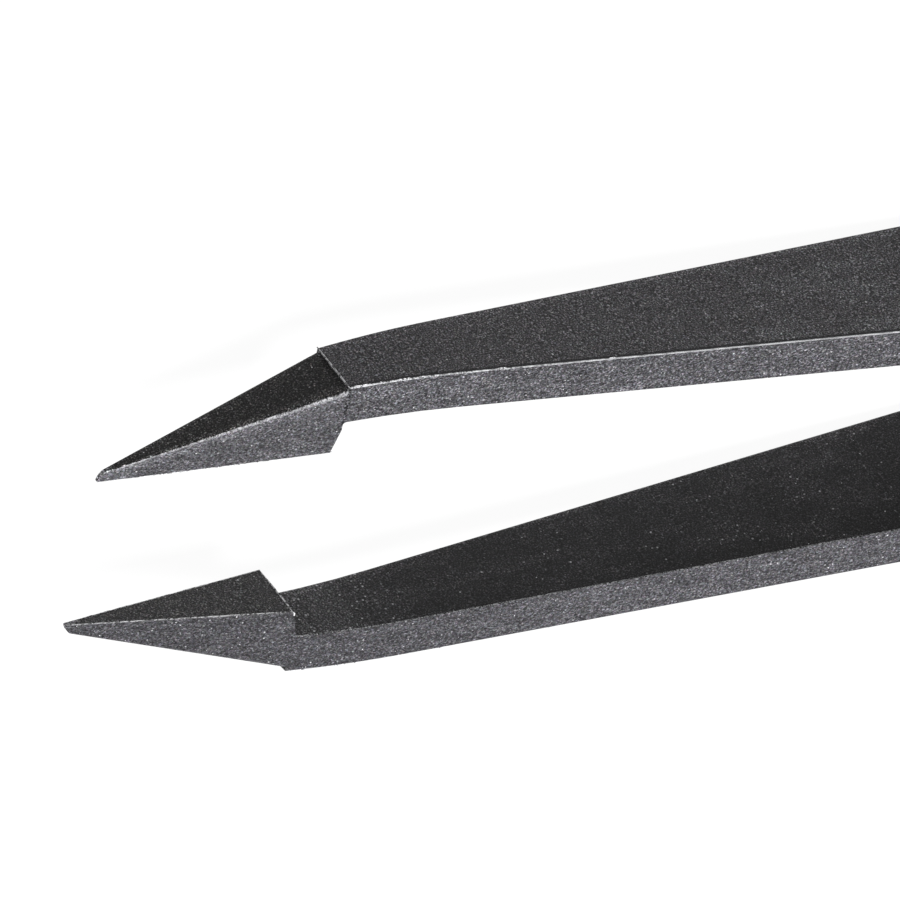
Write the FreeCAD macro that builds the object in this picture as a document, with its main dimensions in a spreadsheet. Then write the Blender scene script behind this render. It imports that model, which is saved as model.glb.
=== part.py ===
import FreeCAD, Part
import Sketcher
import math
import os

# Plastic tweezers moulded in one piece, lying on their side as they come to rest.
# The piece is drawn from the noses of the tips (x = 0) back to the tail along X. It opens along Y,
# the same on both sides of the centre line, and its width runs along Z, the same on both sides.
# The upper tip and arm are modelled and then mirrored. Lengths are in millimetres, angles in degrees.

Vector = FreeCAD.Vector

# Driving dimensions: name, value, what it measures
SIZES = [
    ("overall_length", 120.0, "noses to tail end"),
    ("shoulder_span", 18.0, "over both outer faces, at the step behind the tips"),
    ("arm_thickness", 2.2, "outer face to inner face, all along an arm"),
    ("arm_angle", 3.0, "lean of each straight arm towards the other one"),
    ("bend_radius", 65.0, "outer face, where the arm bends behind the tip"),
    ("lead_angle", 2.8, "rise of the outer face where the arm leaves the tip"),
    ("arm_root_width", 3.39, "arm at the step behind the tip"),
    ("flare_angle", 3.97, "widening of the arm on each side"),
    ("flare_blend_radius", 150.0, "where the widening runs out into the grip"),
    ("grip_width", 10.0, "widest part of the arms, kept to the tail"),
    ("outline_radius", 0.08, "edges all round the outer faces"),
    ("tail_length", 15.0, "solid end that joins the arms"),
    ("tail_plan_radius", 3.0, "corners of the tail end, over the width"),
    ("tail_side_radius", 1.5, "corners of the tail end, over the thickness"),
    ("tip_length", 12.75, "nose to the step behind the tip"),
    ("tip_step", 0.17, "drop from the arm's outer face to the tip's"),
    ("tip_opening", 9.05, "between the closing faces at the noses"),
    ("tip_root_width", 3.75, "closing face carried back to the foot of the pad"),
    ("tip_draft", 2.3, "lean of the tip's sides, which narrow outwards"),
    ("tip_edge_radius", 0.28, "rounding of the tip's outer edges, at its root"),
    ("closing_angle", 2.44, "widening of the jaw from the nose to the heel"),
    ("closing_radius", 0.05, "edges of the closing face"),
    ("heel_length", 12.34, "nose to the heel, where the closing face ends"),
    ("foot_radius", 0.22, "pad's slanted back into the arm's inner face"),
    ("nose_thickness", 0.5, "closing face to outer face at the nose"),
    ("nose_width", 0.24, "closing face at the nose"),
    ("nose_edge_radius", 0.07, "rounding of the tip's outer edges, at the nose"),
    ("nose_front", 0.04, "blunt front of the nose, above the closing face"),
    ("nose_radius", 0.8, "front of the nose up into the tip's outer face"),
]

# Places that several outlines share, as formulas of the driving dimensions
SHOULDER_Y = "(sizes.shoulder_span / 2)"
BEND_X = "(sizes.tip_length + sizes.bend_radius * sin(sizes.lead_angle * 1deg))"
BEND_Y = f"({SHOULDER_Y} - sizes.bend_radius * cos(sizes.lead_angle * 1deg))"
FOOT_X = "(sizes.tip_length + sizes.arm_thickness * sin(sizes.lead_angle * 1deg))"
FOOT_Y = f"({SHOULDER_Y} - sizes.arm_thickness * cos(sizes.lead_angle * 1deg))"
JAW_Y = "(sizes.tip_opening / 2)"
CLOSING_SLOPE = "tan(sizes.closing_angle * 1deg)"
HEEL_Y = f"({JAW_Y} + sizes.heel_length * {CLOSING_SLOPE})"
NOSE_Y = f"({JAW_Y} + sizes.nose_thickness)"
FRONT_Y = f"({JAW_Y} + sizes.nose_front)"
TIP_SLOPE = f"(({SHOULDER_Y} - sizes.tip_step - {NOSE_Y}) / sizes.tip_length)"
CROTCH_X = "(sizes.overall_length - sizes.tail_length)"
ROOT_Z = "(sizes.arm_root_width / 2)"
GRIP_Z = "(sizes.grip_width / 2)"

# Room that a cutting outline takes outside the solid that it cuts
CUT_MARGIN = 1.0
# How near a point has to be to a place to count as there
NEAR = 1e-4

# Ends and centre of an edge, and the axis along X, as a sketch numbers them
START, END, CENTRE = range(1, 4)
X_AXIS = -1


def make_sheet():
    """The spreadsheet whose cells drive every feature."""
    sheet = doc.addObject("Spreadsheet::Sheet", "sizes")
    for row, (name, number, meaning) in enumerate(SIZES, start=1):
        sheet.set(f"A{row}", name)
        sheet.set(f"B{row}", str(number))
        sheet.set(f"C{row}", meaning)
        sheet.setAlias(f"B{row}", name)
    doc.recompute()
    return sheet


def value(formula):
    """What a formula comes to now, in millimetres or degrees."""
    return float(sizes.evalExpression(formula.replace("sizes.", "")))


def polar(centre, radius, angle):
    """The point at a distance and an angle in degrees from a centre."""
    turn = math.radians(angle)
    return (centre[0] + radius * math.cos(turn), centre[1] + radius * math.sin(turn))


def origin_plane(role):
    """The body's own origin plane of that role."""
    return next(feature for feature in tweezers.Origin.OriginFeatures if feature.Role == role)


def new_sketch(name, role):
    """A sketch on one of the body's origin planes."""
    sketch = tweezers.newObject("Sketcher::SketchObject", name)
    sketch.AttachmentSupport = [(origin_plane(role), "")]
    sketch.MapMode = "FlatFace"
    return sketch


def line(sketch, start, end, construction=False):
    """A line between two points."""
    return sketch.addGeometry(Part.LineSegment(Vector(*start), Vector(*end)), construction)


def arc(sketch, centre, radius, start_angle, end_angle):
    """An arc run anticlockwise between two angles in degrees."""
    circle = Part.Circle(Vector(*centre), Vector(0, 0, 1), radius)
    curve = Part.ArcOfCircle(circle, math.radians(start_angle), math.radians(end_angle))
    return sketch.addGeometry(curve, False)


def hold(sketch, kind, *where):
    """A constraint with no dimension."""
    sketch.addConstraint(Sketcher.Constraint(kind, *where))


def chain(sketch, *edges):
    """Joins each edge's end to the next one's start."""
    for first, second in zip(edges, edges[1:]):
        hold(sketch, "Coincident", first, END, second, START)


def size(sketch, name, formula, kind, *where):
    """A dimension that follows a formula."""
    drawn = math.radians(value(formula)) if kind == "Angle" else value(formula)
    index = sketch.addConstraint(Sketcher.Constraint(kind, *where, drawn))
    sketch.renameConstraint(index, name)
    sketch.setExpression(f"Constraints.{name}", formula)


def place(sketch, name, edge, end, x_formula, y_formula):
    """Holds a point at a place measured from the sketch's origin."""
    size(sketch, f"{name}_x", x_formula, "DistanceX", X_AXIS, START, edge, end)
    size(sketch, f"{name}_y", y_formula, "DistanceY", X_AXIS, START, edge, end)


def cut(name, sketch):
    """Cuts an outline right through, both ways from its plane."""
    pocket = tweezers.newObject("PartDesign::Pocket", name)
    pocket.Profile = sketch
    pocket.Type = "ThroughAll"
    pocket.SideType = "Symmetric"
    doc.recompute()
    return pocket


def mirror(name, role, *features):
    """Mirrors the named features across an origin plane, or the whole shape where none are given."""
    mirrored = tweezers.newObject("PartDesign::Mirrored", name)
    if features:
        mirrored.Originals = list(features)
    else:
        mirrored.TransformMode = "Whole shape"
    mirrored.MirrorPlane = (origin_plane(role), [""])
    tweezers.Tip = mirrored
    doc.recompute()


# Tip: an arrowhead whose flat inner side closes on the other tip


def tip_section(name, station, closing_y, outer_y, width, corner_radius):
    """A cross-section of the tip: flat closing face, drafted sides and rounded outer edges."""
    sketch = new_sketch(name, "YZ_Plane")
    sketch.setExpression("AttachmentOffset.Base.z", station)
    y_in, y_out, half, r = value(closing_y), value(outer_y), value(width) / 2, value(corner_radius)
    outer_half = half - (y_out - y_in) * math.tan(math.radians(value("sizes.tip_draft")))
    closing = line(sketch, (y_in, -half), (y_in, half))
    side = line(sketch, (y_in, half), (y_out - r, outer_half))
    corner = arc(sketch, (y_out - r, outer_half - r), r, 0, 90)
    outer = line(sketch, (y_out, outer_half - r), (y_out, r - outer_half))
    other_corner = arc(sketch, (y_out - r, r - outer_half), r, 270, 360)
    other_side = line(sketch, (y_out - r, -outer_half), (y_in, -half))

    chain(sketch, closing, side)
    hold(sketch, "Tangent", side, END, corner, END)
    hold(sketch, "Tangent", corner, START, outer, START)
    hold(sketch, "Tangent", outer, END, other_corner, END)
    hold(sketch, "Tangent", other_corner, START, other_side, START)
    chain(sketch, other_side, closing)
    hold(sketch, "Symmetric", closing, START, closing, END, X_AXIS)
    hold(sketch, "Symmetric", outer, START, outer, END, X_AXIS)
    hold(sketch, "Equal", corner, other_corner)
    size(sketch, "closing_y", closing_y, "DistanceX", X_AXIS, START, closing, START)
    size(sketch, "outer_y", outer_y, "DistanceX", X_AXIS, START, outer, START)
    size(sketch, "width", width, "DistanceY", closing, START, closing, END)
    size(sketch, "corner_radius", corner_radius, "Radius", corner)
    size(sketch, "draft", "-sizes.tip_draft", "Angle", side)
    return sketch


def add_tip():
    """Lofts the tip from its nose back to the foot of its pad."""
    nose = tip_section("nose_section", "0", JAW_Y, NOSE_Y,
                       "sizes.nose_width", "sizes.nose_edge_radius")
    root = tip_section("root_section", FOOT_X,
                       f"{JAW_Y} + {FOOT_X} * {CLOSING_SLOPE}", f"{NOSE_Y} + {FOOT_X} * {TIP_SLOPE}",
                       "sizes.tip_root_width", "sizes.tip_edge_radius")
    tip = tweezers.newObject("PartDesign::AdditiveLoft", "tip")
    tip.Profile = nose
    tip.Sections = [root]
    tip.Ruled = True
    doc.recompute()


def cut_slanted_back():
    """Cuts the tip away behind the plane that leans from its heel up to the foot of the pad."""
    sketch = new_sketch("back_outline", "XY_Plane")
    heel_xy = (value("sizes.heel_length"), value(HEEL_Y))
    foot_xy = (value(FOOT_X), value(FOOT_Y))
    lean = (foot_xy[0] - heel_xy[0]) / (foot_xy[1] - heel_xy[1])
    low_xy = (heel_xy[0] - heel_xy[1] * lean, 0)
    beyond_x = foot_xy[0] + CUT_MARGIN
    back = line(sketch, low_xy, foot_xy)
    top = line(sketch, foot_xy, (beyond_x, foot_xy[1]))
    behind = line(sketch, (beyond_x, foot_xy[1]), (beyond_x, 0))
    bottom = line(sketch, (beyond_x, 0), low_xy)
    heel = sketch.addGeometry(Part.Point(Vector(*heel_xy)), True)

    chain(sketch, back, top, behind, bottom, back)
    hold(sketch, "Horizontal", top)
    hold(sketch, "Vertical", behind)
    hold(sketch, "PointOnObject", bottom, START, X_AXIS)
    hold(sketch, "PointOnObject", bottom, END, X_AXIS)
    hold(sketch, "PointOnObject", heel, START, back)
    place(sketch, "heel", heel, START, "sizes.heel_length", HEEL_Y)
    place(sketch, "foot", back, END, FOOT_X, FOOT_Y)
    size(sketch, "margin", str(CUT_MARGIN), "DistanceX", top, START, top, END)
    cut("slanted_back", sketch)


def cut_round_nose():
    """Rounds the nose, from its blunt front up into the tip's outer face."""
    sketch = new_sketch("nose_outline", "XY_Plane")
    nose_y, front_y, r = value(NOSE_Y), value(FRONT_Y), value("sizes.nose_radius")
    slope = value(TIP_SLOPE)
    lean = math.atan(slope)
    drop_y = nose_y - front_y
    reach = math.sqrt((2 * r - drop_y * math.cos(lean)) * drop_y * math.cos(lean)) - drop_y * math.sin(lean)
    touch = polar((0, nose_y), reach, math.degrees(lean))
    centre = polar(touch, r, math.degrees(lean) - 90)
    front_angle = 180 + math.degrees(math.atan2(centre[1] - front_y, centre[0]))
    top_y = touch[1] + CUT_MARGIN
    rounding = arc(sketch, centre, r, 90 + math.degrees(lean), front_angle)
    front = line(sketch, (0, front_y), (-CUT_MARGIN, front_y))
    ahead = line(sketch, (-CUT_MARGIN, front_y), (-CUT_MARGIN, top_y))
    top = line(sketch, (-CUT_MARGIN, top_y), (touch[0], top_y))
    drop = line(sketch, (touch[0], top_y), touch)
    outer_face = line(sketch, (0, nose_y), (r, nose_y + r * slope), construction=True)

    chain(sketch, rounding, front, ahead, top, drop, rounding)
    hold(sketch, "Horizontal", front)
    hold(sketch, "Vertical", ahead)
    hold(sketch, "Horizontal", top)
    hold(sketch, "Vertical", drop)
    hold(sketch, "Tangent", rounding, START, outer_face)
    place(sketch, "face_start", outer_face, START, "0", NOSE_Y)
    place(sketch, "face_end", outer_face, END,
          "sizes.nose_radius", f"{NOSE_Y} + sizes.nose_radius * {TIP_SLOPE}")
    place(sketch, "front", front, START, "0", FRONT_Y)
    size(sketch, "nose_radius", "sizes.nose_radius", "Radius", rounding)
    size(sketch, "margin_ahead", str(CUT_MARGIN), "DistanceX", front, END, front, START)
    size(sketch, "margin_above", str(CUT_MARGIN), "DistanceY", drop, END, drop, START)
    cut("round_nose", sketch)


# Arm: a bend behind the tip, a straight length, and half of the solid tail


def add_arm():
    """Pads the arm's outline, seen from the side, to the full width of the grip."""
    sketch = new_sketch("arm_outline", "XY_Plane")
    length, crotch_x = value("sizes.overall_length"), value(CROTCH_X)
    outer_r = value("sizes.bend_radius")
    inner_r = outer_r - value("sizes.arm_thickness")
    bend_xy = (value(BEND_X), value(BEND_Y))
    root_angle, straight_angle = 90 + value("sizes.lead_angle"), 90 - value("sizes.arm_angle")
    fall = math.tan(math.radians(value("sizes.arm_angle")))
    outer_start, inner_start = (polar(bend_xy, r, straight_angle) for r in (outer_r, inner_r))
    tail_r = value("sizes.tail_side_radius")
    tail_y = outer_start[1] - (length - outer_start[0]) * fall
    slot_r = inner_start[1] - (crotch_x - inner_start[0]) * fall
    slot_xy = (crotch_x - slot_r, 0)
    heel_xy = (value("sizes.heel_length"), value(HEEL_Y))
    foot_xy = (value(FOOT_X), value(FOOT_Y))
    foot_r = value("sizes.foot_radius")
    back_angle = 90 + math.degrees(math.atan2(foot_xy[1] - heel_xy[1], foot_xy[0] - heel_xy[0]))
    foot_centre = (foot_xy[0] + foot_r, foot_xy[1] - foot_r)

    outer_bend = arc(sketch, bend_xy, outer_r, straight_angle, root_angle)
    outer_face = line(sketch, outer_start, (length - tail_r, tail_y))
    tail_corner = arc(sketch, (length - tail_r, tail_y - tail_r), tail_r, 0, straight_angle)
    tail_end = line(sketch, (length, tail_y - tail_r), (length, 0))
    centre_line = line(sketch, (length, 0), (crotch_x, 0))
    slot_end = arc(sketch, slot_xy, slot_r, 0, straight_angle)
    inner_face = line(sketch, polar(slot_xy, slot_r, straight_angle), inner_start)
    inner_bend = arc(sketch, bend_xy, inner_r, straight_angle, root_angle)
    foot = arc(sketch, foot_centre, foot_r, 90, back_angle)
    front = line(sketch, polar(foot_centre, foot_r, back_angle), polar(bend_xy, outer_r, root_angle))
    pad_back = line(sketch, heel_xy, foot_xy, construction=True)

    hold(sketch, "Tangent", outer_bend, START, outer_face, START)
    hold(sketch, "Tangent", outer_face, END, tail_corner, END)
    hold(sketch, "Tangent", tail_corner, START, tail_end, START)
    chain(sketch, tail_end, centre_line, slot_end)
    hold(sketch, "Tangent", slot_end, END, inner_face, START)
    hold(sketch, "Tangent", inner_face, END, inner_bend, START)
    hold(sketch, "Tangent", inner_bend, END, foot, START)
    chain(sketch, foot, front)
    hold(sketch, "Coincident", front, END, outer_bend, END)
    hold(sketch, "Tangent", foot, END, pad_back)
    hold(sketch, "Coincident", inner_bend, CENTRE, outer_bend, CENTRE)
    hold(sketch, "Parallel", inner_face, outer_face)
    hold(sketch, "Vertical", tail_end)
    hold(sketch, "PointOnObject", centre_line, START, X_AXIS)
    hold(sketch, "PointOnObject", centre_line, END, X_AXIS)
    hold(sketch, "PointOnObject", slot_end, CENTRE, X_AXIS)
    place(sketch, "shoulder", outer_bend, END, "sizes.tip_length", SHOULDER_Y)
    place(sketch, "bend", outer_bend, CENTRE, BEND_X, BEND_Y)
    place(sketch, "heel", pad_back, START, "sizes.heel_length", HEEL_Y)
    place(sketch, "foot", pad_back, END, FOOT_X, FOOT_Y)
    size(sketch, "arm_angle", "-sizes.arm_angle", "Angle", outer_face)
    size(sketch, "inner_radius", "sizes.bend_radius - sizes.arm_thickness", "Radius", inner_bend)
    size(sketch, "foot_radius", "sizes.foot_radius", "Radius", foot)
    size(sketch, "tail_side_radius", "sizes.tail_side_radius", "Radius", tail_corner)
    size(sketch, "overall_length", "sizes.overall_length", "DistanceX", X_AXIS, START, centre_line, START)
    size(sketch, "crotch_x", CROTCH_X, "DistanceX", X_AXIS, START, centre_line, END)
    arm = tweezers.newObject("PartDesign::Pad", "arm")
    arm.Profile = sketch
    arm.SideType = "Symmetric"
    arm.setExpression("Length", "sizes.grip_width")
    doc.recompute()


def cut_flare():
    """Cuts the arm's width, on one side: narrow at the step and widening evenly to the grip."""
    sketch = new_sketch("flare_outline", "XZ_Plane")
    angle, blend_r = value("sizes.flare_angle"), value("sizes.flare_blend_radius")
    root_xz = (value("sizes.tip_length"), value(ROOT_Z))
    grip_z = value(GRIP_Z)
    wide_x = root_xz[0] + (grip_z - root_xz[1]) / math.tan(math.radians(angle))
    blend_x = wide_x + blend_r * math.tan(math.radians(angle / 2))
    blend_centre = (blend_x, grip_z - blend_r)
    beyond_z = grip_z + CUT_MARGIN
    flare = line(sketch, root_xz, polar(blend_centre, blend_r, 90 + angle))
    blend = arc(sketch, blend_centre, blend_r, 90, 90 + angle)
    behind = line(sketch, (blend_x, grip_z), (blend_x, beyond_z))
    beside = line(sketch, (blend_x, beyond_z), (root_xz[0], beyond_z))
    step = line(sketch, (root_xz[0], beyond_z), root_xz)

    hold(sketch, "Tangent", flare, END, blend, END)
    hold(sketch, "Coincident", blend, START, behind, START)
    chain(sketch, behind, beside, step, flare)
    hold(sketch, "Vertical", behind)
    hold(sketch, "Horizontal", beside)
    hold(sketch, "Vertical", step)
    hold(sketch, "Vertical", blend, CENTRE, blend, START)
    place(sketch, "root", flare, START, "sizes.tip_length", ROOT_Z)
    size(sketch, "flare_angle", "sizes.flare_angle", "Angle", flare)
    size(sketch, "blend_radius", "sizes.flare_blend_radius", "Radius", blend)
    size(sketch, "grip_z", GRIP_Z, "DistanceY", X_AXIS, START, blend, START)
    size(sketch, "margin", str(CUT_MARGIN), "DistanceY", behind, START, behind, END)
    return cut("flare", sketch)


def cut_tail_corner():
    """Rounds one corner of the tail end, seen on the arms' outer faces."""
    sketch = new_sketch("tail_outline", "XZ_Plane")
    length, grip_z, r = value("sizes.overall_length"), value(GRIP_Z), value("sizes.tail_plan_radius")
    beyond_x, beyond_z = length + CUT_MARGIN, grip_z + CUT_MARGIN
    corner = arc(sketch, (length - r, grip_z - r), r, 0, 90)
    back = line(sketch, (length - r, grip_z), (length - r, beyond_z))
    beside = line(sketch, (length - r, beyond_z), (beyond_x, beyond_z))
    behind = line(sketch, (beyond_x, beyond_z), (beyond_x, grip_z - r))
    out = line(sketch, (beyond_x, grip_z - r), (length, grip_z - r))

    chain(sketch, corner, back, beside, behind, out, corner)
    hold(sketch, "Vertical", back)
    hold(sketch, "Horizontal", beside)
    hold(sketch, "Vertical", behind)
    hold(sketch, "Horizontal", out)
    hold(sketch, "Horizontal", corner, CENTRE, corner, START)
    hold(sketch, "Vertical", corner, CENTRE, corner, END)
    size(sketch, "corner_radius", "sizes.tail_plan_radius", "Radius", corner)
    size(sketch, "tail_x", "sizes.overall_length", "DistanceX", X_AXIS, START, corner, START)
    size(sketch, "grip_z", GRIP_Z, "DistanceY", X_AXIS, START, corner, END)
    size(sketch, "margin_behind", str(CUT_MARGIN), "DistanceX", out, END, out, START)
    size(sketch, "margin_beside", str(CUT_MARGIN), "DistanceY", back, START, back, END)
    return cut("tail_corner", sketch)


# Edges: small radii that the mould leaves


def round_edges(name, formula, chosen):
    """A fillet on the edges for which a test holds, and on what runs on smoothly from them."""
    base = tweezers.Tip
    names = [f"Edge{number}" for number, edge in enumerate(base.Shape.Edges, start=1) if chosen(edge)]
    fillet = tweezers.newObject("PartDesign::Fillet", name)
    fillet.Base = (base, names)
    fillet.setExpression("Radius", formula)
    doc.recompute()


def starts_outline(edge):
    """An edge that leaves the upper step along the outer face, and not one of the step's own."""
    if edge.BoundBox.XLength < value("sizes.tip_step"):
        return False
    x, y, z = value("sizes.tip_length"), value(SHOULDER_Y), value(ROOT_Z)
    corners = (Vector(x, y, z), Vector(x, y, -z))
    return any(end.Point.distanceToPoint(corner) < NEAR for end in edge.Vertexes for corner in corners)


def bounds_closing_face(edge):
    """An edge along either side of a closing face, or at its heel."""
    spot = edge.valueAt((edge.FirstParameter + edge.LastParameter) / 2)
    closing_y = value(JAW_Y) + spot.x * value(CLOSING_SLOPE)
    return abs(abs(spot.y) - closing_y) < NEAR and edge.Length > value("sizes.nose_width") + NEAR


def check_and_export(bodies):
    """Writes each body's solid, once every object of the document has come out sound."""
    for item in doc.Objects:
        if "Invalid" in item.State or "Error" in item.State:
            raise RuntimeError(f"{item.Name} failed: {item.State}")
    for body in bodies:
        if body.Shape.isNull() or not body.Shape.isValid() or len(body.Shape.Solids) != 1:
            raise RuntimeError(f"{body.Label} has no sound solid")
    os.makedirs("parts", exist_ok=True)
    for body in bodies:
        body.Shape.exportStep(f"parts/{body.Label}.step")
        print(f"{body.Label}: {body.Shape.Volume:.1f} mm3, {len(body.Shape.Faces)} faces")


doc = FreeCAD.newDocument("plastic_tweezers")
sizes = make_sheet()
tweezers = doc.addObject("PartDesign::Body", "tweezers")
tweezers.Label = "tweezers"
add_tip()
cut_slanted_back()
cut_round_nose()
add_arm()
mirror("both_flares", "XY_Plane", cut_flare())
mirror("both_arms", "XZ_Plane")
round_edges("outline_edges", "sizes.outline_radius", starts_outline)
round_edges("closing_edges", "sizes.closing_radius", bounds_closing_face)
mirror("both_tail_corners", "XY_Plane", cut_tail_corner())

# On its side, with the origin on the surface under the middle of its length
tweezers.setExpression("Placement.Base.x", "-sizes.overall_length / 2")
tweezers.setExpression("Placement.Base.z", GRIP_Z)
doc.recompute()
check_and_export([tweezers])
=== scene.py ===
"""Plastic tweezers, moulded in one piece, lying on their side on a pale floor.

Their solid comes from the frame and gets its finish here: a dark grey plastic full of fine carbon. Its sides
carry the coarse grain of a spark-eroded mould and its faces a finer one. Its edges are painted pale as a
highlight, its inner faces dark as shade between the arms. The ragged flash that the mould leaves along the
tips is added as pieces of its own. Everything is in metres, in the frame's own axes: X runs from the tips to
the tail, the arms open along Y, and Z is up. The first arm is the one on the +Y side, the second the one on
the -Y side.
"""

import math
import random
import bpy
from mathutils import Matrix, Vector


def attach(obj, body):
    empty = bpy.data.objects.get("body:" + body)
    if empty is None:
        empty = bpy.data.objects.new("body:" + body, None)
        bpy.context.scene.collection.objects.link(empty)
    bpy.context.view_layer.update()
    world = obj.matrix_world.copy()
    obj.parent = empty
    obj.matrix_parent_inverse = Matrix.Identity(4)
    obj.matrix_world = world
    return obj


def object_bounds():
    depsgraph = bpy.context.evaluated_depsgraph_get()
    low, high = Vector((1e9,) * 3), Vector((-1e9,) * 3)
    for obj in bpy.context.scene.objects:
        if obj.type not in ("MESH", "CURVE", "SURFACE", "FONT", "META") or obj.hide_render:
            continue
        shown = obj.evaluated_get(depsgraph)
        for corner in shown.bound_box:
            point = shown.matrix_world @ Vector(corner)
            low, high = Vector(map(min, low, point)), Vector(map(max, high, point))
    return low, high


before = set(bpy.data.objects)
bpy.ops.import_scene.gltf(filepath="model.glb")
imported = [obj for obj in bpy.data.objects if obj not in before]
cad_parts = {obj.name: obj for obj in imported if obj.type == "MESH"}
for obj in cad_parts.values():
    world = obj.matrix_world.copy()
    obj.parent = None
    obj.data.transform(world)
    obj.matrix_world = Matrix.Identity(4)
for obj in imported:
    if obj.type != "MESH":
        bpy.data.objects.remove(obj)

from types import SimpleNamespace

import bmesh
import bpy
from mathutils import Matrix, Vector

cad_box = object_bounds()
MM = 0.001

# The photograph's view: a long lens, high on the side that the tips point away from
LOOK_AT = Vector((-38.695, 1.602, 4.478)) * MM
VIEW_AZIMUTH = 129.152
VIEW_ELEVATION = 40.258
VIEW_ROLL = 141.336
VIEW_DISTANCE = 2.079
SENSOR_WIDTH = 36.0
LENS = 1665.7
NEAREST_SEEN = 0.1
FARTHEST_SEEN = 20.0

# Light: a wide soft lamp overhead, and a room that is even and pale
LAMP_HEIGHT = 0.8
LAMP_SIZE = 0.5
LAMP_POWER = 7.5
ROOM_LIGHT = 0.24
FLOOR_SIZE = 16.0
FLOOR_BOUNCE = 0.35
FLOOR_SHADE = 0.10
FLOOR_GLOW = 0.95
FLOOR_DROP = 0.02 * MM

# Sizes of the tips and arms, as the solid has them
NOSES_X = cad_box[0][0]
MIDDLE_Z = (cad_box[0][2] + cad_box[1][2]) / 2
GRIP_HALF = (cad_box[1][2] - cad_box[0][2]) / 2
GRIP_BLEND = 0.54 * MM
TIP_LENGTH = 12.75 * MM
STEP_X = NOSES_X + TIP_LENGTH
STEP_DROP = 0.17 * MM
TAIL_LENGTH = 15.0 * MM
TAIL_X = cad_box[1][0] - TAIL_LENGTH
SHOULDER_HALF = 9.0 * MM
ROOT_HALF = 1.695 * MM
FLARE = math.tan(math.radians(3.97))
JAW_HALF = 4.525 * MM
JAW_SLOPE = math.tan(math.radians(2.44))
HEEL_LENGTH = 12.34 * MM
NOSE_HALF = 0.10 * MM
PAD_WIDENING = 0.1335
TIP_WIDENING = 0.1053
TIP_SLOPE = math.tan(math.radians(16.6))

# Flash left by the mould: the run of its ragged outline, how deep it is sunk, how fast and from what share of
# its height it rises at each end, how much of its thickness it keeps there, and how far its crest wanders,
# as a share of half its thickness
FLASH_STEP = 0.12 * MM
FLASH_SINK = 0.02 * MM
FEWEST_STEPS = 4
END_RISE = 4.0
END_HEIGHT = 0.1
END_THICKNESS = 0.6
CREST_WANDER = 0.4

# The height and thickness of each kind of flash. On the closing faces the height differs from edge to edge
STEP_FLASH = (0.16 * MM, 0.09 * MM)
HEEL_FLASH = (0.11 * MM, 0.06 * MM)
CORNER_FLASH = (0.13 * MM, 0.12 * MM)
FLAKE = (0.06 * MM, 0.06 * MM)
CLOSING_THICKNESS = 0.07 * MM
CLOSING_HEIGHTS = {("first", "upper"): 0.05 * MM, ("second", "upper"): 0.12 * MM,
                   ("first", "lower"): 0.04 * MM, ("second", "lower"): 0.04 * MM}

# Where the flash lies: how far below the upper corner that on the step starts and how far it passes the lower
# one, how far that on the closing faces keeps from the nose, from the jaw's plane and from the heel, and how
# far that in the heel's upper corner runs along the piece and across it
STEP_FLASH_SHORT = 0.05 * MM
STEP_FLASH_NUB = 0.07 * MM
NOSE_INSET = 0.05 * MM
JAW_INSET = 0.01 * MM
HEEL_INSET = 0.02 * MM
CORNER_RUN = (0.06 * MM, 0.3 * MM)

# How far each kind of flash leans, for 1 straight out of its edge
STEP_LEAN = 0.75
CLOSING_LEAN = 0.6
HEEL_LEAN = 0.8
CORNER_LEAN = 0.6
FLAKE_LEAN = 0.5

# Where the random draws of each kind of flash start, before the arm, edge or flake is counted in
STEP_SEED = 5
CLOSING_SEED = 30
HEEL_SEED = 50
CORNER_SEED = 60
FLAKE_SEED = 70

# The flakes on the arms' upper outer edges: how far each starts behind the step, and its length. Its place on
# the solid is the nearest to one a little below the edge and outside it
FLAKES = ((0.1 * MM, 1.1 * MM), (2.7 * MM, 0.7 * MM), (3.8 * MM, 0.4 * MM), (8.3 * MM, 0.5 * MM),
          (14.6 * MM, 0.4 * MM))
FLAKE_BELOW = 0.03 * MM
FLAKE_OUTSIDE = 0.2 * MM

# Shades before the grain, which makes them paler on average
SIDE_GREY = (0.078, 0.0765, 0.084)
SECOND_SIDE_GREY = (0.0835, 0.0817, 0.0898)
# The second arm's sides near the tip are painted darker as painted shade
SHADED_SECOND_TIP_GREY = (0.0650, 0.0635, 0.0700)
OUTER_GREY = (0.0610, 0.0590, 0.0630)
BLOOM_GREY = (0.088, 0.088, 0.093)
# The inner faces' greys are painted dark as shade between the arms; the clouds are paler patches within it
SHADED_INNER_GREY = (0.0160, 0.0157, 0.0166)
SHADED_CLOUD_GREY = (0.0320, 0.0308, 0.0325)
FOOT_GREY = (0.056, 0.055, 0.057)
TIP_GREY = (0.0140, 0.0135, 0.0135)
PALER_TIP_GREY = (0.0220, 0.0213, 0.0213)
CLOSING_GREY = (0.047, 0.046, 0.047)
NOSE_GREY = (0.150, 0.148, 0.156)
SHADED_GREY = (0.006, 0.006, 0.007)
# The pale grey of the painted edge highlight, also used for the crumbs
EDGE_HIGHLIGHT_AND_CRUMB_GREY = (0.80, 0.805, 0.83)
SPECK_GREY = (0.90, 0.90, 0.93)
TORN_GREY = (0.95, 0.95, 0.97)
CREASED_GREY = (0.13, 0.13, 0.135)

# Grain: the size of its pits, how wavy they are, how far they are drawn out along the sides, how many times
# the full height of the grain doubles the shade, what is left of that where it is calmer, its real depth, and
# the height that leaves the shade as it is
PIT_SIZE = 0.085 * MM
SIDE_WAVINESS = 0.8
FACE_WAVINESS = 0.4
SIDE_DRAWN = 0.7
SIDE_DEPTH = 10.0
FACE_DEPTH = 13.0
TIP_DEPTH = 16.5
CALMER = 0.83
RELIEF = 0.012 * MM
NOISE_MIDDLE = 0.5

# The grain of the torn flash
TORN_SIZE = 0.16 * MM
TORN_WAVINESS = 0.6
TORN_RELIEF = 0.01 * MM

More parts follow.
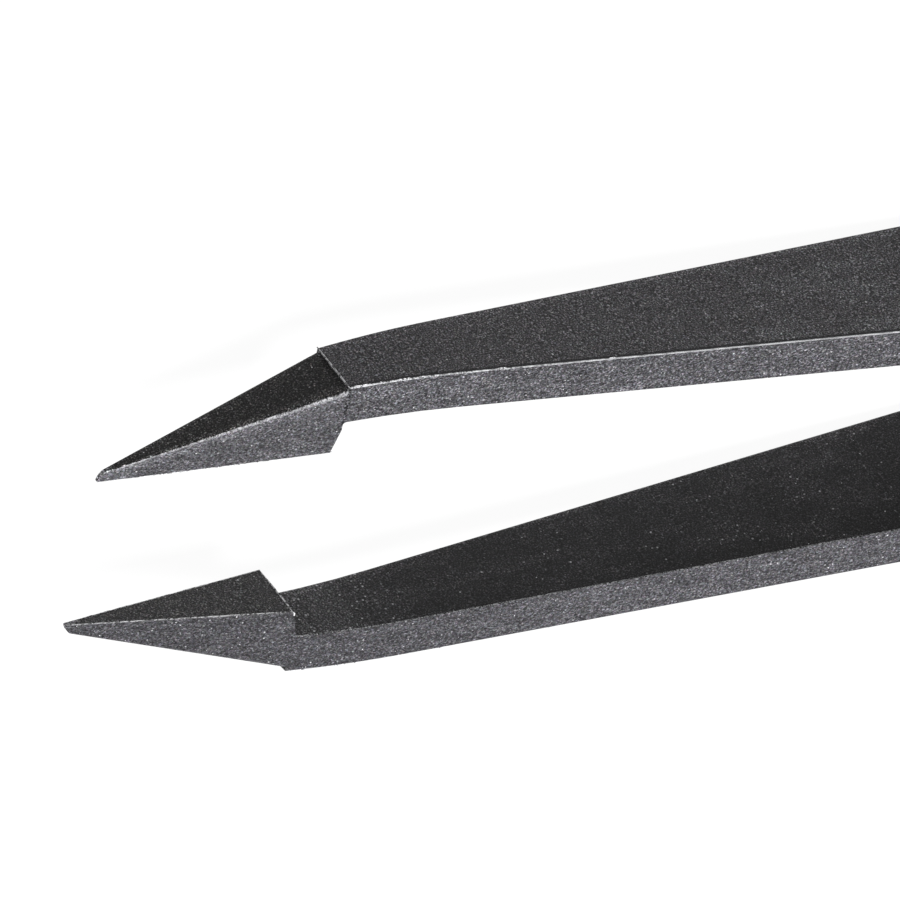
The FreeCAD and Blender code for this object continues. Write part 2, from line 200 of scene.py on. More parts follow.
# Slower changes of shade: the size of each, how far it is drawn out along the piece, where less than 1 makes
# it longer, and how many times the full height of the streaks doubles the shade
MOTTLE_SIZE = 1.2 * MM
MOTTLE_DRAWN = 0.35
STREAK_SIZE = 0.35 * MM
STREAK_DRAWN = 0.2
STREAK_DEPTH = 2.0
PATCH_SIZE = 0.3 * MM

# Slight tints of red, green and blue: their size, how much they vary the colour and the least they leave
TINT_SIZE = 0.12 * MM
TINT_DEPTH = 0.45
TINT_LEAST = 0.775

# Each pair gives where a finish is still absent and where it is full. These lie along the piece
STEP_LINE = (STEP_X + 0.01 * MM, STEP_X - 0.01 * MM)
TAIL_MARGIN = 0.5 * MM
SECOND_SHADE_FADE = (STEP_X - 8.0 * MM, STEP_X + 25.0 * MM)
BLOOM_RUN = (STEP_X + 9.25 * MM, STEP_X + 27.25 * MM)
INNER_TILT_RUN = (STEP_X + 11.25 * MM, STEP_X + 20.25 * MM)
FOOT_PATCH = (STEP_X + 4.4 * MM, STEP_X + 3.3 * MM)
FOOT_HALO = (STEP_X + 7.5 * MM, STEP_X + 4.0 * MM)
TIP_PALING = (STEP_X - 0.75 * MM, NOSES_X + 2.5 * MM)
NOSE_RUN = (NOSES_X + 1.0 * MM, NOSES_X + 0.35 * MM)
EDGE_RUN = 12.0 * MM

# These lie across the piece, up it, or away from an edge. On the tips, heights are shares of half their depth
ARM_DIVIDE = (0.5 * MM, -0.5 * MM)
UPPER_HALF = (-0.5 * MM, 0.5 * MM)
EDGE_SHADOW = (0.30 * MM, 0.16 * MM)
OUTLINE_BAND = (0.8 * MM, 0.2 * MM)
LOW_BAND = (0.8 * MM, 0.0)
CRUMB_BAND = (0.13 * MM, 0.05 * MM)
# Where the painted shadow of the step between tip and arm lies across the sides
STEP_SHADOW_OFFSET = 0.03 * MM
STEP_SHADOW_BAND = (0.16 * MM, 0.07 * MM)
TIP_UPPER_BAND = (0.60, 0.90)
TIP_LOWER_BAND = (-0.5, -0.95)

# These follow the turn of the surface: how far it faces up or down, across the piece or along it
SIDE_TURN = (0.6, 0.85)
ROLL_TURN = (0.97, 0.85)
ARM_EDGE_TURN = (0.15, 0.38)
TIP_EDGE_ACROSS = (0.04, 0.55)
TIP_EDGE_UPRIGHT = (0.5, 0.75)
NOSE_EDGE_TURN = (0.34, 0.6)

# These follow the height of the noise that breaks the finish up
BLOOM_CLOUDS = (0.45, 0.66)
INNER_CLOUDS = (0.42, 0.66)
DUST_CLOUDS = (0.45, 0.62)
STEP_SHADOW_DOTS = (0.60, 0.50)
HIGHLIGHT_PATCHES = (0.42, 0.57)
HIGHLIGHT_PITS = (0.41, 0.55)
CRUMB_PATCHES = (0.42, 0.55)
CRUMB_PITS = (0.40, 0.52)
TORN_SPOTS = (0.42, 0.52)

# How strong each finish is. A lift or tilt is how many times it doubles the shade
HALO_STRENGTH = 0.3
SHADOW_STRENGTH = 0.95
OUTLINE_LIFT = 0.8
LOW_LIFT = 0.7
TIP_TILT = -0.5
TIP_UPPER_LIFT = 1.6
TIP_LOWER_LIFT = 0.4
INNER_TILT = -0.35
INNER_LIFT = 0.05
# How dark the painted step shadow is on the first arm and on the second
STEP_SHADOW_ON_FIRST = 0.9
STEP_SHADOW_ON_SECOND = 0.2
# How strong the painted edge highlight is by the step, behind it and on the tips
HIGHLIGHT_BY_STEP = 1.9
HIGHLIGHT_BEHIND = 1.6
HIGHLIGHT_ON_TIPS = 0.9

# What is left of the painted edge highlight and of the crumbs on the lower half, on the second arm, and
# between the noise's patches and pits
HIGHLIGHT_LOW = 0.3
HIGHLIGHT_SECOND = 0.25
HIGHLIGHT_PATCH_LEAST = 0.4
HIGHLIGHT_PIT_LEAST = 0.15
CRUMBS_LOW = 0.2
CRUMB_PATCH_LEAST = 0.45

# Specks: the share of the usual radius that the smallest one has, the strength of the faintest one, and how
# much stronger the strongest is
SPECK_LEAST = 0.3
SPECK_FAINTEST = 0.12
SPECK_VARIES = 0.85

# Dust on the faces and painted glints on the sides: the share of the spots that have a speck, the spots'
# spacing, the usual radius and, for the glints, how strong they are beside the dust
DUST_LEAST = 0.12
DUST_CLUSTERED = 0.4
DUST_BY_FOOT = 0.2
DUST_ON_CLOSING = 0.2
DUST_OUTSIDE = 0.08
DUST_SPACING = 0.25 * MM
DUST_RADIUS = 0.045 * MM
DUST_RADIUS_BY_FOOT = 0.065 * MM
GLINT_SHARE = 0.5
GLINT_SPACING = 0.2 * MM
GLINT_RADIUS = 0.035 * MM
GLINT_STRENGTH = 0.9


def add(tree, kind, inputs=None, **properties):
    """A shader node with its properties set, and each input set to a value or linked to an output."""
    node = tree.nodes.new(kind)
    for name, setting in properties.items():
        setattr(node, name, setting)
    for name, given in (inputs or {}).items():
        if isinstance(given, bpy.types.NodeSocket):
            tree.links.new(given, node.inputs[name])
        else:
            node.inputs[name].default_value = given
    return node


def work_out(tree, operation, *values):
    """The result of a sum on numbers or outputs."""
    return add(tree, "ShaderNodeMath", dict(enumerate(values)), operation=operation).outputs[0]


def times(tree, first, *others):
    """Masks or numbers multiplied together."""
    result = first
    for value in others:
        result = work_out(tree, "MULTIPLY", result, value)
    return result


def minus(tree, first, second):
    """One number less another."""
    return work_out(tree, "SUBTRACT", first, second)


def fade(tree, measure, none_at, full_at):
    """A mask that rises smoothly from 0 to 1 between two readings."""
    return add(tree, "ShaderNodeMapRange", {"Value": measure, "From Min": none_at, "From Max": full_at},
               interpolation_type="SMOOTHSTEP").outputs[0]


def between(tree, mask, off, on):
    """A number that goes from one setting to another as a mask rises."""
    return add(tree, "ShaderNodeMix", {"Factor": mask, "A": off, "B": on}).outputs[0]


def blend_grey(tree, mask, under, over):
    """One colour over another, as far as a mask says."""
    mix = add(tree, "ShaderNodeMix", {"Factor": mask}, data_type="RGBA")
    colours = [socket for socket in mix.inputs if socket.type == "RGBA"]
    for socket, given in zip(colours, (under, over)):
        if isinstance(given, bpy.types.NodeSocket):
            tree.links.new(given, socket)
        else:
            socket.default_value = (*given, 1)
    return next(socket for socket in mix.outputs if socket.type == "RGBA")


def new_material(name):
    """An empty material and its node tree."""
    material = bpy.data.materials.new(name)
    material.use_nodes = True
    material.node_tree.nodes.clear()
    return material, material.node_tree


def new_group(name, inputs, outputs):
    """An empty node group with named sockets, and its ends."""
    group = bpy.data.node_groups.new(name, "ShaderNodeTree")
    for label, (kind, start) in inputs.items():
        socket = group.interface.new_socket(label, in_out="INPUT", socket_type=kind)
        if start is not None:
            socket.default_value = start
    for label, kind in outputs.items():
        group.interface.new_socket(label, in_out="OUTPUT", socket_type=kind)
    return group, add(group, "NodeGroupInput").outputs, add(group, "NodeGroupOutput").inputs


def drawn_out(tree, place, scale):
    """A place scaled along X, so that a texture runs longer along the piece."""
    return add(tree, "ShaderNodeVectorMath", {0: place, 1: (scale, 1, 1)}, operation="MULTIPLY").outputs[0]


def grain_group():
    """The pits and ridges that a spark-eroded mould prints: wavy, rounded and all about one size."""
    group, given, result = new_group("spark_eroded_grain", {
        "Place": ("NodeSocketVector", None), "Size": ("NodeSocketFloat", PIT_SIZE),
        "Waviness": ("NodeSocketFloat", FACE_WAVINESS)}, {"Height": "NodeSocketFloat"})
    per_metre = work_out(group, "DIVIDE", 1.0, given["Size"])
    pits = add(group, "ShaderNodeTexNoise", {
        "Vector": given["Place"], "Scale": per_metre, "Detail": 1.0, "Distortion": given["Waviness"]})
    group.links.new(pits.outputs["Fac"], result["Height"])
    return group


def specks_group():
    """Scattered pale specks, most of them faint: dust and torn plastic, and painted glints where the sides
    use them.
    """
    group, given, result = new_group("pale_specks", {
        "Place": ("NodeSocketVector", None), "Spacing": ("NodeSocketFloat", DUST_SPACING),
        "Share": ("NodeSocketFloat", DUST_LEAST), "Size": ("NodeSocketFloat", DUST_RADIUS)},
        {"Mask": "NodeSocketFloat"})
    per_metre = work_out(group, "DIVIDE", 1.0, given["Spacing"])
    cells = add(group, "ShaderNodeTexVoronoi", {"Vector": given["Place"], "Scale": per_metre}).outputs
    chance = add(group, "ShaderNodeSeparateColor", {"Color": cells["Color"]}).outputs
    away = times(group, cells["Distance"], given["Spacing"])
    radius = times(group, given["Size"], work_out(group, "ADD", chance["Green"], SPECK_LEAST))
    spot = work_out(group, "LESS_THAN", away, radius)
    kept = work_out(group, "LESS_THAN", chance["Red"], given["Share"])
    strength = work_out(group, "MULTIPLY_ADD", times(group, chance["Blue"], chance["Blue"]), SPECK_VARIES,
                        SPECK_FAINTEST)
    group.links.new(times(group, spot, kept, strength), result["Mask"])
    return group


def place_group(tree, group, output, **inputs):
    """A group placed in a material with its own values."""
    return add(tree, "ShaderNodeGroup", {label.capitalize(): given for label, given in inputs.items()},
               node_tree=group).outputs[output]


def places_on_piece(tree):
    """What tells the sides, faces, tips, arms and edges of the tweezers apart, as masks and distances."""
    coordinates = add(tree, "ShaderNodeTexCoord").outputs
    where = SimpleNamespace(place=coordinates["Object"])
    where.spot = add(tree, "ShaderNodeSeparateXYZ", {0: where.place}).outputs
    facing = add(tree, "ShaderNodeSeparateXYZ", {0: coordinates["Normal"]}).outputs
    where.along, where.across, where.upright = (work_out(tree, "ABSOLUTE", facing[axis]) for axis in "XYZ")

    where.on_side = fade(tree, where.upright, *SIDE_TURN)
    where.outward = work_out(
        tree, "MAXIMUM", work_out(tree, "GREATER_THAN", times(tree, where.spot["Y"], facing["Y"]), 0.0),
        work_out(tree, "GREATER_THAN", where.spot["X"], TAIL_X + TAIL_MARGIN))
    where.on_tip = fade(tree, where.spot["X"], *STEP_LINE)
    where.off_tip = minus(tree, 1.0, where.on_tip)
    where.inner_arm = times(tree, minus(tree, 1.0, where.outward), where.off_tip)
    where.on_second = fade(tree, where.spot["Y"], *ARM_DIVIDE)

    where.behind_step = minus(tree, where.spot["X"], STEP_X)
    where.above_middle = minus(tree, where.spot["Z"], MIDDLE_Z)
    where.upper_half = fade(tree, where.above_middle, *UPPER_HALF)
    flared = work_out(tree, "MULTIPLY_ADD", where.behind_step, FLARE, ROOT_HALF)
    where.half_width = work_out(tree, "SMOOTH_MIN", flared, GRIP_HALF, GRIP_BLEND)
    where.from_edge = minus(tree, where.half_width, work_out(tree, "ABSOLUTE", where.above_middle))
    where.near_foot = times(tree, fade(tree, where.spot["X"], *FOOT_PATCH), where.inner_arm)
    where.past_foot = fade(tree, where.spot["X"], *FOOT_HALO)
    return where


def grain_and_clouds(tree, grain, place):
    """The heights of the grain, coarse and fine, and of the slower noise that breaks up the finishes."""
    return SimpleNamespace(
        coarse=place_group(tree, grain, "Height", place=drawn_out(tree, place, SIDE_DRAWN), size=PIT_SIZE,
                           waviness=SIDE_WAVINESS),
        fine=place_group(tree, grain, "Height", place=place, size=PIT_SIZE, waviness=FACE_WAVINESS),
        mottle=add(tree, "ShaderNodeTexNoise", {
            "Vector": drawn_out(tree, place, MOTTLE_DRAWN), "Scale": 1 / MOTTLE_SIZE, "Detail": 4.0,
            "Roughness": 0.65}).outputs["Fac"],
        streaks=add(tree, "ShaderNodeTexNoise", {
            "Vector": drawn_out(tree, place, STREAK_DRAWN), "Scale": 1 / STREAK_SIZE,
            "Detail": 2.0}).outputs["Fac"],
        patches=add(tree, "ShaderNodeTexNoise", {
            "Vector": place, "Scale": 1 / PATCH_SIZE, "Detail": 2.0}).outputs["Fac"])


def ground_shade(tree, where, noise):
    """The shade of each face and side, before the grain."""
    x = where.spot["X"]
    # Painted shade: the second arm's sides are painted darker near the tip and paler further back
    second_side = blend_grey(tree, fade(tree, x, *SECOND_SHADE_FADE), SHADED_SECOND_TIP_GREY, SECOND_SIDE_GREY)
    side = blend_grey(tree, where.on_second, SIDE_GREY, second_side)

    bloom = times(tree, fade(tree, x, *BLOOM_RUN), fade(tree, noise.mottle, *BLOOM_CLOUDS))
    outer_face = blend_grey(tree, bloom, OUTER_GREY, BLOOM_GREY)
    # Painted shade: the inner faces are painted much darker than the outer ones, with paler clouds in the
    # plastic
    shaded_inner_face = blend_grey(tree, fade(tree, noise.mottle, *INNER_CLOUDS), SHADED_INNER_GREY, SHADED_CLOUD_GREY)
    shaded_inner_face = blend_grey(tree, times(tree, where.past_foot, HALO_STRENGTH), shaded_inner_face, FOOT_GREY)
    shaded_inner_face = blend_grey(tree, where.near_foot, shaded_inner_face, FOOT_GREY)
    arm_face = blend_grey(tree, where.outward, shaded_inner_face, outer_face)
    tip_outer = blend_grey(tree, fade(tree, x, *TIP_PALING), TIP_GREY, PALER_TIP_GREY)
    tip_face = blend_grey(tree, where.outward, CLOSING_GREY, tip_outer)
    face = blend_grey(tree, where.on_tip, arm_face, tip_face)

    beside_edge = times(tree, fade(tree, where.from_edge, *EDGE_SHADOW), where.upper_half, where.outward,
                        where.off_tip)
    face = blend_grey(tree, times(tree, beside_edge, SHADOW_STRENGTH), face, SHADED_GREY)
    face = blend_grey(tree, fade(tree, x, *NOSE_RUN), face, NOSE_GREY)
    return blend_grey(tree, where.on_side, face, side)


def side_swing(tree, where, noise):
    """How far the grain swings the shade of the sides, which are paler along the first tip's outline."""
    swing = work_out(tree, "MULTIPLY_ADD", minus(tree, noise.coarse, NOISE_MIDDLE), SIDE_DEPTH,
                     times(tree, minus(tree, noise.streaks, NOISE_MIDDLE), STREAK_DEPTH))
    tip_outline = work_out(tree, "MULTIPLY_ADD", where.behind_step, TIP_SLOPE, SHOULDER_HALF - STEP_DROP)
    from_outline = minus(tree, tip_outline, work_out(tree, "ABSOLUTE", where.spot["Y"]))
    lift = times(tree, fade(tree, from_outline, *OUTLINE_BAND), where.on_tip,
                 between(tree, where.on_second, OUTLINE_LIFT, 0.0))
    calm = between(tree, work_out(tree, "MAXIMUM", where.on_tip, where.on_second), 1.0, CALMER)
    return work_out(tree, "MULTIPLY_ADD", swing, calm, lift)


def face_swing(tree, where, noise):
    """How far the grain swings the shade of the faces, which are paler towards their lower edges."""
    from_low_edge = work_out(tree, "ADD", where.half_width, where.above_middle)
    arm_lift = times(tree, fade(tree, from_low_edge, *LOW_BAND), where.off_tip, LOW_LIFT)

    tip_half = work_out(tree, "MULTIPLY_ADD", minus(tree, where.spot["X"], NOSES_X), TIP_WIDENING, NOSE_HALF)
    height = work_out(tree, "DIVIDE", where.above_middle, tip_half)
    tip_lift = times(tree, height, TIP_TILT)
    for band, strength in ((TIP_LOWER_BAND, TIP_LOWER_LIFT), (TIP_UPPER_BAND, TIP_UPPER_LIFT)):
        tip_lift = work_out(tree, "MULTIPLY_ADD", fade(tree, height, *band), strength, tip_lift)
    outer_tip = times(tree, where.on_tip, where.outward)

    inner_height = work_out(tree, "DIVIDE", where.above_middle, where.half_width)
    inner_lift = times(tree, work_out(tree, "MULTIPLY_ADD", inner_height, INNER_TILT, INNER_LIFT),
                       fade(tree, where.spot["X"], *INNER_TILT_RUN), where.inner_arm)

    lift = work_out(tree, "MULTIPLY_ADD", tip_lift, outer_tip, work_out(tree, "ADD", arm_lift, inner_lift))
    depth = between(tree, outer_tip, FACE_DEPTH, TIP_DEPTH)
    return work_out(tree, "MULTIPLY_ADD", minus(tree, noise.fine, NOISE_MIDDLE), depth, lift)


def with_grain(tree, ground, where, noise):
    """The ground shade, doubled and halved by the grain and slightly tinted."""
    swing = between(tree, where.on_side, face_swing(tree, where, noise), side_swing(tree, where, noise))
    colour = add(tree, "ShaderNodeVectorMath", {0: ground, "Scale": work_out(tree, "POWER", 2.0, swing)},
                 operation="SCALE").outputs[0]
    tints = add(tree, "ShaderNodeTexNoise", {"Vector": where.place, "Scale": 1 / TINT_SIZE}).outputs["Color"]
    tint = add(tree, "ShaderNodeVectorMath", {0: tints, 1: (TINT_DEPTH,) * 3, 2: (TINT_LEAST,) * 3},
               operation="MULTIPLY_ADD").outputs[0]
    return add(tree, "ShaderNodeVectorMath", {0: colour, 1: tint}, operation="MULTIPLY").outputs[0]


def with_step_shadow(tree, colour, where, noise):
    """A dotted dark line across the sides where the tip meets the arm: a painted shadow of the small step
    there.
    """
    off_step_shadow = work_out(tree, "ABSOLUTE", minus(tree, where.behind_step, STEP_SHADOW_OFFSET))
    step_shadow = times(tree, fade(tree, off_step_shadow, *STEP_SHADOW_BAND), where.on_side, fade(tree, noise.coarse, *STEP_SHADOW_DOTS),
                 between(tree, where.on_second, STEP_SHADOW_ON_FIRST, STEP_SHADOW_ON_SECOND))
    return blend_grey(tree, step_shadow, colour, SHADED_GREY)


def with_painted_edge_highlight(tree, colour, where, noise):
    """Edges painted pale as a highlight where two faces roll into each other, and crumbs along the arms'
    inner ones.
    """
    # Painted highlight: where the surface rolls from face to side it is painted pale, most on the upper half
    # and by the step
    arm_edge = fade(tree, work_out(tree, "MINIMUM", where.across, where.upright), *ARM_EDGE_TURN)
    arm_edge = times(tree, arm_edge, add(tree, "ShaderNodeMapRange", {
        "Value": where.spot["X"], "From Min": STEP_X, "From Max": STEP_X + EDGE_RUN,
        "To Min": HIGHLIGHT_BY_STEP, "To Max": HIGHLIGHT_BEHIND}).outputs[0])
    tip_edge = times(tree, fade(tree, where.across, *TIP_EDGE_ACROSS),
                     fade(tree, where.upright, *TIP_EDGE_UPRIGHT))
    nose_edge = fade(tree, work_out(tree, "MINIMUM", where.across, where.along), *NOSE_EDGE_TURN)
    tip_edge = times(tree, work_out(tree, "MAXIMUM", tip_edge, nose_edge), HIGHLIGHT_ON_TIPS)
    highlit_edges = times(
        tree, between(tree, where.on_tip, arm_edge, tip_edge),
        between(tree, fade(tree, noise.patches, *HIGHLIGHT_PATCHES), HIGHLIGHT_PATCH_LEAST, 1.0),
        between(tree, fade(tree, noise.fine, *HIGHLIGHT_PITS), HIGHLIGHT_PIT_LEAST, 1.0),
        between(tree, where.upper_half, HIGHLIGHT_LOW, 1.0),
        between(tree, where.on_second, 1.0, HIGHLIGHT_SECOND))

    crumbs = times(
        tree, fade(tree, where.from_edge, *CRUMB_BAND), fade(tree, where.upright, *ROLL_TURN),
        fade(tree, noise.fine, *CRUMB_PITS),
        between(tree, fade(tree, noise.patches, *CRUMB_PATCHES), CRUMB_PATCH_LEAST, 1.0),
        where.inner_arm, between(tree, where.upper_half, CRUMBS_LOW, 1.0))
    pale = work_out(tree, "MINIMUM", 1.0, work_out(tree, "MAXIMUM", highlit_edges, crumbs))
    return blend_grey(tree, pale, colour, EDGE_HIGHLIGHT_AND_CRUMB_GREY)


def with_specks(tree, colour, specks, where, noise):
    """Specks on the faces, most in the clouds of the inner ones, and small painted glints on the sides."""
    share = work_out(tree, "MULTIPLY_ADD", fade(tree, noise.mottle, *DUST_CLOUDS), DUST_CLUSTERED, DUST_LEAST)
    share = work_out(tree, "MULTIPLY_ADD", where.past_foot, DUST_BY_FOOT, share)
    share = between(tree, where.on_tip, share, DUST_ON_CLOSING)
    share = between(tree, where.outward, share, DUST_OUTSIDE)
    radius = between(tree, times(tree, where.past_foot, where.off_tip), DUST_RADIUS, DUST_RADIUS_BY_FOOT)
    dust = place_group(tree, specks, "Mask", place=where.place, spacing=DUST_SPACING, share=share,
                       size=radius)
    glints = place_group(tree, specks, "Mask", place=where.place, spacing=GLINT_SPACING, share=GLINT_SHARE,
                         size=GLINT_RADIUS)
    pale = between(tree, where.on_side, dust, times(tree, glints, GLINT_STRENGTH))
    return blend_grey(tree, pale, colour, SPECK_GREY)


def finish_surface(tree, colour, height, relief, strength, roughest, smoothest, specular):
    """The plastic's surface: its colour, and a grain that stands up and shines a little on its crests."""
    bump = add(tree, "ShaderNodeBump", {"Height": height, "Distance": relief, "Strength": strength})
    rough = between(tree, height, roughest, smoothest)
    surface = add(tree, "ShaderNodeBsdfPrincipled", {
        "Base Color": colour, "Roughness": rough, "Specular IOR Level": specular,
        "Normal": bump.outputs["Normal"]})
    add(tree, "ShaderNodeOutputMaterial", {"Surface": surface.outputs["BSDF"]})


def carbon_filled_plastic(grain, specks):
    """The tweezers' own plastic: coarse pale sides, finer dark faces, painted edge highlights and painted
    shade.
    """
    material, tree = new_material("carbon_filled_plastic")
    where = places_on_piece(tree)
    noise = grain_and_clouds(tree, grain, where.place)
    colour = with_grain(tree, ground_shade(tree, where, noise), where, noise)
    colour = with_step_shadow(tree, colour, where, noise)
    colour = with_painted_edge_highlight(tree, colour, where, noise)
    colour = with_specks(tree, colour, specks, where, noise)
    finish_surface(tree, colour, between(tree, where.on_side, noise.fine, noise.coarse), relief=RELIEF,
                   strength=1.0, roughest=0.62, smoothest=0.42, specular=0.16)
    return material


def whitened_flash(grain):
    """Thin torn plastic at the edges, stressed white."""
    material, tree = new_material("whitened_flash")
    place = add(tree, "ShaderNodeTexCoord").outputs["Object"]
    torn = place_group(tree, grain, "Height", place=place, size=TORN_SIZE, waviness=TORN_WAVINESS)
    colour = blend_grey(tree, fade(tree, torn, *TORN_SPOTS), CREASED_GREY, TORN_GREY)
    finish_surface(tree, colour, torn, relief=TORN_RELIEF, strength=0.8, roughest=0.7, smoothest=0.5,
                   specular=0.3)
    return material


def flash_ribbon(plastic, name, start, end, outward, tallest, thickness, seed, bare, grows=1.0):
    """A ragged, closed sliver of flash along a straight edge, sunk a little into the solid.

    Its lowest teeth are the bare share of its height, and it grows from that share of it at the start.
    """
    chance = random.Random(seed)
    run = end - start
    steps = max(FEWEST_STEPS, int(run.length / FLASH_STEP))
    along = run.normalized()
    outward = (outward - along * outward.dot(along)).normalized()
    aside = along.cross(outward)
    heights = [chance.uniform(bare, 1.0) for _ in range(steps + 1)]
    shape = bmesh.new()
    rings = []
    for index, height in enumerate(heights):
        share = index / steps
        taper = min(1.0, END_RISE * share + END_HEIGHT, END_RISE * (1 - share) + END_HEIGHT)
        smooth = (heights[max(index - 1, 0)] + 2 * height + heights[min(index + 1, steps)]) / 4
        rise = tallest * smooth * taper * (grows + (1 - grows) * share)
        foot = start + run * share - outward * FLASH_SINK
        half = aside * thickness / 2 * (END_THICKNESS + (1 - END_THICKNESS) * taper)
        crest = foot + outward * (FLASH_SINK + rise) + half * chance.uniform(-CREST_WANDER, CREST_WANDER)
        rings.append([shape.verts.new(corner) for corner in (foot - half, foot + half, crest)])
    for ring, following in zip(rings, rings[1:]):
        for corner in range(3):
            other = (corner + 1) % 3
            shape.faces.new((ring[corner], ring[other], following[other], following[corner]))
    shape.faces.new(rings[0][::-1])
    shape.faces.new(rings[-1])
    bmesh.ops.triangulate(shape, faces=shape.faces)
    bmesh.ops.recalc_face_normals(shape, faces=shape.faces)
    mesh = bpy.data.meshes.new(name)
    shape.to_mesh(mesh)
    shape.free()
    mesh.materials.append(plastic)
    piece = bpy.data.objects.new(name, mesh)
    bpy.context.scene.collection.objects.link(piece)
    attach(piece, "root")


def trim_step(plastic, arm, side):
    """Flash across the outer face, where the tip ends in a step."""
    upper = Vector((STEP_X, side * SHOULDER_HALF, MIDDLE_Z + ROOT_HALF - STEP_FLASH_SHORT))
    lower = Vector((STEP_X, side * SHOULDER_HALF, MIDDLE_Z - ROOT_HALF - STEP_FLASH_NUB))
    flash_ribbon(plastic, f"step_flash_{arm}", upper, lower, Vector((-STEP_LEAN, side, 0)), *STEP_FLASH,
                 seed=STEP_SEED + side, bare=0.2)


def trim_closing_face(plastic, arm, side):
    """Flash round the closing face: its two long edges, its heel and the heel's upper corner."""
    heel_x = NOSES_X + HEEL_LENGTH - HEEL_INSET
    heel_y = side * (JAW_HALF + JAW_SLOPE * (heel_x - NOSES_X))
    heel_half = NOSE_HALF + PAD_WIDENING * (heel_x - NOSES_X)
    for edge, rim in (("upper", 1), ("lower", -1)):
        nose = Vector((NOSES_X + NOSE_INSET, side * (JAW_HALF + JAW_INSET), MIDDLE_Z + rim * NOSE_HALF))
        heel = Vector((heel_x, heel_y, MIDDLE_Z + rim * heel_half))
        outward = Vector((0, -side * CLOSING_LEAN, rim))
        flash_ribbon(plastic, f"closing_flash_{arm}_{edge}", nose, heel, outward, CLOSING_HEIGHTS[arm, edge],
                     CLOSING_THICKNESS, seed=CLOSING_SEED + 11 * side + rim, bare=0.0)
    lower = Vector((heel_x, heel_y, MIDDLE_Z - heel_half))
    upper = Vector((heel_x, heel_y, MIDDLE_Z + heel_half))
    flash_ribbon(plastic, f"heel_flash_{arm}", lower, upper, Vector((1, -side * HEEL_LEAN, 0)), *HEEL_FLASH,
                 seed=HEEL_SEED + side, bare=0.4, grows=0.2)
    outer_end = upper + Vector((CORNER_RUN[0], side * CORNER_RUN[1], 0))
    flash_ribbon(plastic, f"corner_flash_{arm}", upper, outer_end, Vector((1, 0, CORNER_LEAN)), *CORNER_FLASH,
                 seed=CORNER_SEED + side, bare=0.8)


def trim_arm_edge(plastic, solid, arm, side):
    """A few flakes on the arm's upper outer edge."""
    for number, (behind, length) in enumerate(FLAKES):
        ends = []
        for reach in (behind, behind + length):
            near = Vector((STEP_X + reach, side * (SHOULDER_HALF + FLAKE_OUTSIDE),
                           MIDDLE_Z + ROOT_HALF + FLARE * reach - FLAKE_BELOW))
            ends.append(solid.closest_point_on_mesh(near)[1])
        flash_ribbon(plastic, f"flake_{arm}_{number + 1}", *ends, Vector((0, side, FLAKE_LEAN)), *FLAKE,
                     seed=FLAKE_SEED + number, bare=0.4)


def pale_floor_material():
    """A pale floor that the camera sees as white, except for a light shade under the tweezers."""
    material, tree = new_material("pale_floor")
    path = add(tree, "ShaderNodeLightPath").outputs
    seen = work_out(tree, "MAXIMUM", path["Is Camera Ray"], path["Is Glossy Ray"])
    shown = add(tree, "ShaderNodeAddShader", {
        0: add(tree, "ShaderNodeBsdfDiffuse", {"Color": (FLOOR_SHADE,) * 3 + (1,)}).outputs[0],
        1: add(tree, "ShaderNodeEmission", {"Strength": FLOOR_GLOW}).outputs[0]})
    bounce = add(tree, "ShaderNodeBsdfDiffuse", {"Color": (FLOOR_BOUNCE,) * 3 + (1,)})
    both = add(tree, "ShaderNodeMixShader", {0: seen, 1: bounce.outputs[0], 2: shown.outputs[0]})
    add(tree, "ShaderNodeOutputMaterial", {"Surface": both.outputs[0]})
    return material


def lay_floor():
    """The floor just under the tweezers."""
    bpy.ops.mesh.primitive_plane_add(size=FLOOR_SIZE, location=(0, 0, -FLOOR_DROP))
    floor = bpy.context.object
    floor.name = "floor"
    floor.data.materials.append(pale_floor_material())


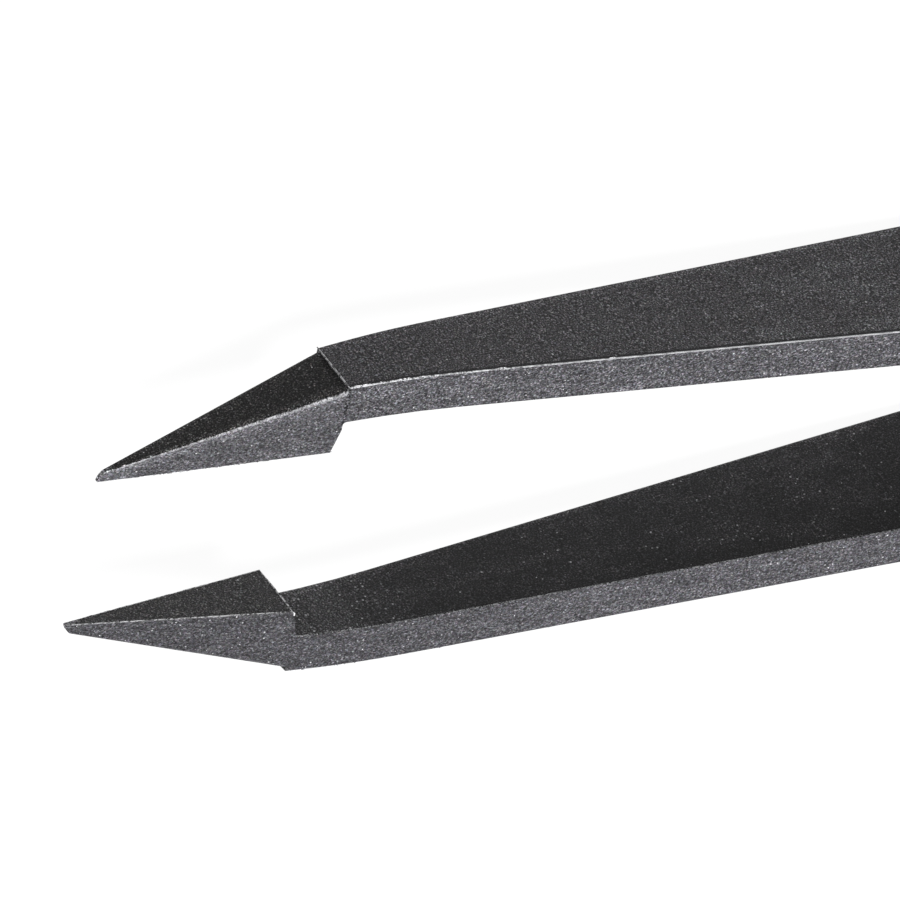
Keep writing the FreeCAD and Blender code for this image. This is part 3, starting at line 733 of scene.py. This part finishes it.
def light_room():
    """Even light all round that the camera sees as white, and the lamp overhead."""
    world = bpy.data.worlds.new("pale_room")
    bpy.context.scene.world = world
    world.use_nodes = True
    tree = world.node_tree
    tree.nodes.clear()
    seen = add(tree, "ShaderNodeLightPath").outputs["Is Camera Ray"]
    level = between(tree, seen, ROOM_LIGHT, 1.0)
    background = add(tree, "ShaderNodeBackground", {"Color": (1, 1, 1, 1), "Strength": level})
    add(tree, "ShaderNodeOutputWorld", {"Surface": background.outputs[0]})

    lamp = bpy.data.lights.new("overhead_lamp", "AREA")
    lamp.shape = "SQUARE"
    lamp.size = LAMP_SIZE
    lamp.energy = LAMP_POWER
    stand = bpy.data.objects.new("overhead_lamp", lamp)
    stand.location = (0, 0, LAMP_HEIGHT)
    bpy.context.scene.collection.objects.link(stand)


def set_camera():
    """The camera, turned to the photograph's angle."""
    data = bpy.data.cameras.new("long_lens")
    data.lens = LENS
    data.sensor_width = SENSOR_WIDTH
    data.clip_start = NEAREST_SEEN
    data.clip_end = FARTHEST_SEEN
    camera = bpy.data.objects.new("long_lens", data)
    azimuth, elevation = math.radians(VIEW_AZIMUTH), math.radians(VIEW_ELEVATION)
    back = Vector((math.cos(elevation) * math.cos(azimuth), math.cos(elevation) * math.sin(azimuth),
                   math.sin(elevation)))
    roll = Matrix.Rotation(math.radians(VIEW_ROLL), 4, "Z")
    turn = back.to_track_quat("Z", "Y").to_matrix().to_4x4() @ roll
    camera.matrix_world = Matrix.Translation(LOOK_AT + back * VIEW_DISTANCE) @ turn
    bpy.context.scene.collection.objects.link(camera)
    bpy.context.scene.camera = camera


bpy.context.scene.view_settings.view_transform = "Standard"
spark_grain = grain_group()
pale_specks = specks_group()
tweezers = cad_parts["tweezers"]
tweezers_plastic = carbon_filled_plastic(spark_grain, pale_specks)
for index in range(len(tweezers.material_slots)):
    tweezers.material_slots[index].material = tweezers_plastic
flash_plastic = whitened_flash(spark_grain)
for arm_name, arm_side in (("first", 1), ("second", -1)):
    trim_step(flash_plastic, arm_name, arm_side)
    trim_closing_face(flash_plastic, arm_name, arm_side)
    trim_arm_edge(flash_plastic, tweezers, arm_name, arm_side)
lay_floor()
light_room()
set_camera()
